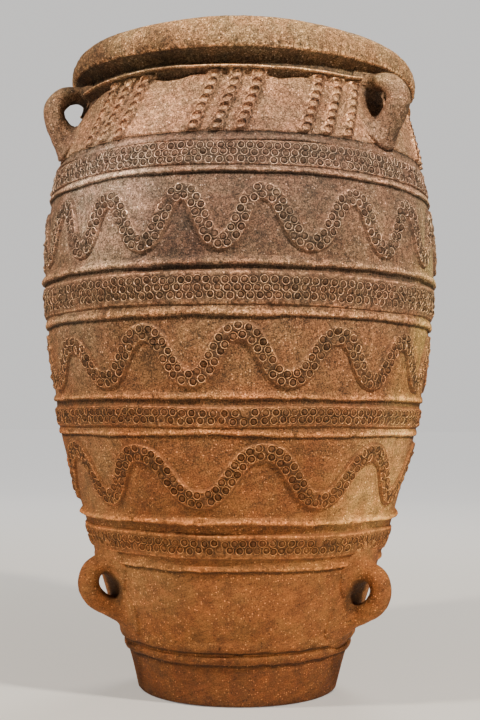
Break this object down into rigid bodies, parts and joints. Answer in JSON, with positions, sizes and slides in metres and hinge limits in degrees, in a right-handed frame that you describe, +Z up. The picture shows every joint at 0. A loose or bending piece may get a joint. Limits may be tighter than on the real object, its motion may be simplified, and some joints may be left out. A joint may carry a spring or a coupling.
{
  "type": "clay storage jar",
  "caption": "Tall hollow pottery storage jar with wide mouth, rolled rim, narrow foot, loop handles in two tiers, stamped ring bands and wavy raised strips",
  "frame": {"origin": "centre of the flat underside", "axes": "+Z up the jar's axis, -Y towards the front as pictured, +X to the right seen from the front"},
  "size_m": [0.7204, 0.7241, 1.1343],
  "materials": {
    "fired_clay": "unglazed fired clay, rough and gritty, weathered brown"
  },
  "bodies": {
    "root": {"storage_jar": "fired_clay"}
  },
  "joints": []
}
